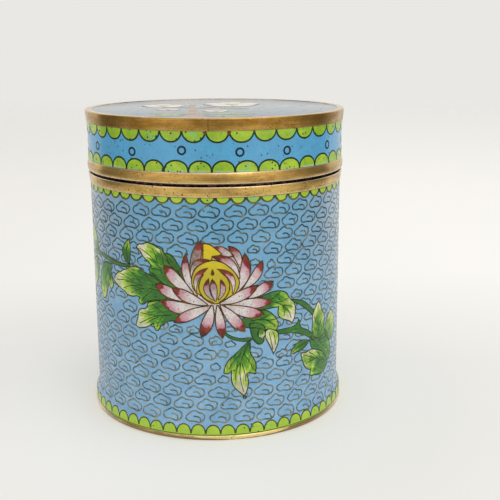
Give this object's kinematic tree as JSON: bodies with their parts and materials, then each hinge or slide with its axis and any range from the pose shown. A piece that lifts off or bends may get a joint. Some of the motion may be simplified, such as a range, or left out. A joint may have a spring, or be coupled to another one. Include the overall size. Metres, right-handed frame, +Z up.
{
  "type": "tea caddy",
  "caption": "Round lidded tea caddy of enamelled copper with brass foot, mouth and lid rings, a collar in the mouth and a lift-off cap lid.",
  "frame": {"origin": "centre of the circle that the foot ring stands on", "axes": "+Z up along the axis of the can, -Y towards the middle of the flower on the body"},
  "size_m": [0.076, 0.076, 0.088],
  "materials": {
    "blue_enamel": "polished opaque cloisonne enamel, sky blue, lightly pitted",
    "green_enamel": "polished opaque enamel, from dark leaf green to yellow green",
    "flower_enamel": "polished opaque enamel, white to pink with dark red tips, and yellow",
    "brass": "worn satin brass with brown tarnish",
    "wire": "dark tarnished cloison wire, ground flush",
    "copper": "dull brown copper sheet"
  },
  "bodies": {
    "root": {"foot_ring": "brass", "body_can": "copper", "body_enamel": "blue_enamel", "base_enamel": "blue_enamel", "mouth_ring": "brass", "neck_collar": "brass", "lid_rim_ring": "brass", "lid_cap": "copper", "lid_side_enamel": "blue_enamel", "lid_top_enamel": "blue_enamel", "lid_top_ring": "brass"}
  },
  "joints": []
}
